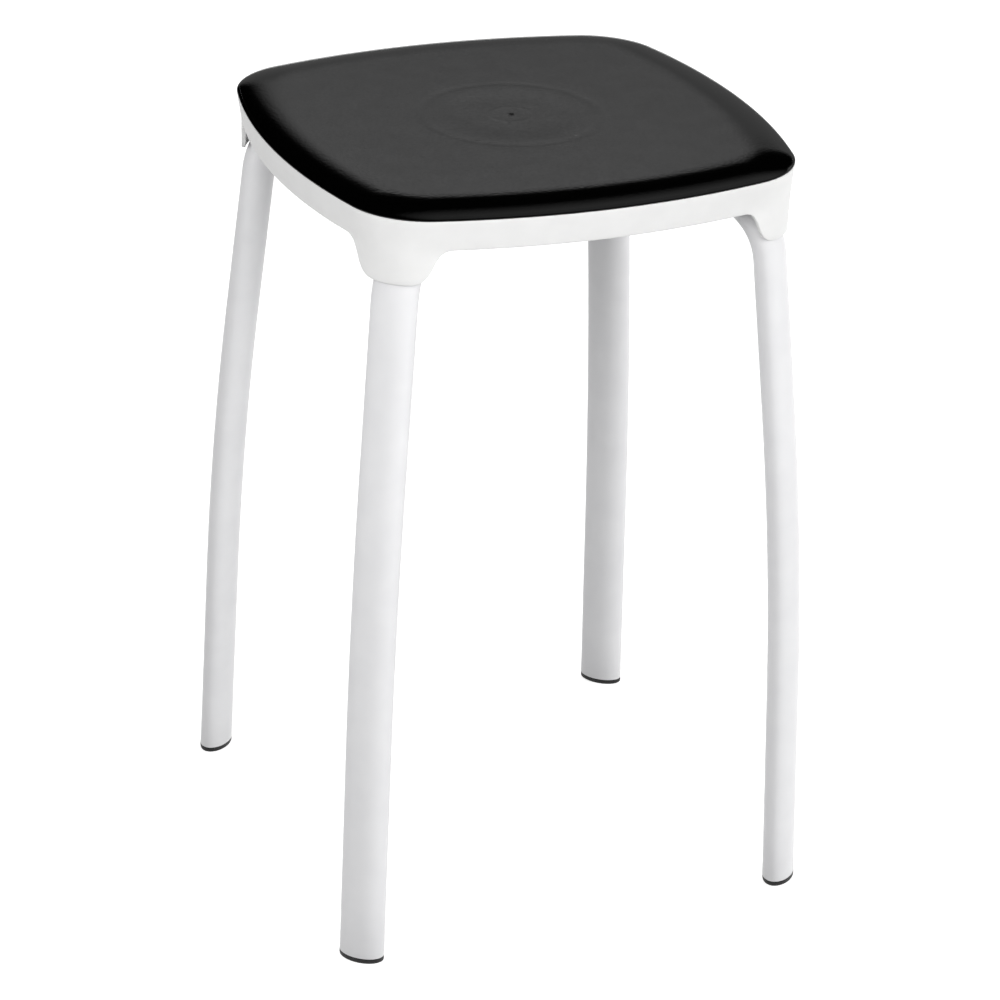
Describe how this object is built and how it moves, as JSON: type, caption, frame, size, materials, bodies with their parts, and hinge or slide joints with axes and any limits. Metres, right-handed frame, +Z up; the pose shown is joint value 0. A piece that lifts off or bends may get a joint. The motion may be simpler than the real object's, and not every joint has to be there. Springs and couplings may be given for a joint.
{
  "type": "stacking stool",
  "caption": "Square stacking stool with a black moulded seat, a white moulded frame with corner tongues, and crossed white bent-tube legs on black glides.",
  "frame": {"origin": "on the floor, under the middle of the seat", "axes": "+Z up; -Y to the side of the seat that faces the viewer in the picture; the feet stand on the diagonals between X and Y"},
  "size_m": [0.2876, 0.2876, 0.45],
  "materials": {
    "black_polypropylene": "black moulded plastic with a fine grain",
    "white_polypropylene": "satin white moulded plastic",
    "white_powder_coat": "satin white powder coat on steel tube",
    "black_glide": "black moulded plastic",
    "zinc_plate": "bright zinc plate"
  },
  "bodies": {
    "root": {"seat_top": "black_polypropylene", "seat_frame": "white_polypropylene", "leg_hoop_upper": "white_powder_coat", "leg_hoop_lower": "white_powder_coat", "foot_glide_front_left": "black_glide", "foot_glide_front_right": "black_glide", "foot_glide_back_right": "black_glide", "foot_glide_back_left": "black_glide", "saddle_washer_front_left": "black_glide", "saddle_washer_front_right": "black_glide", "saddle_washer_back_right": "black_glide", "saddle_washer_back_left": "black_glide", "leg_screw_front_left": "zinc_plate", "leg_screw_front_right": "zinc_plate", "leg_screw_back_right": "zinc_plate", "leg_screw_back_left": "zinc_plate", "seat_screw_front": "zinc_plate", "seat_screw_right": "zinc_plate", "seat_screw_back": "zinc_plate", "seat_screw_left": "zinc_plate", "centre_washer": "zinc_plate", "centre_bolt": "zinc_plate", "centre_nut": "zinc_plate"}
  },
  "joints": []
}
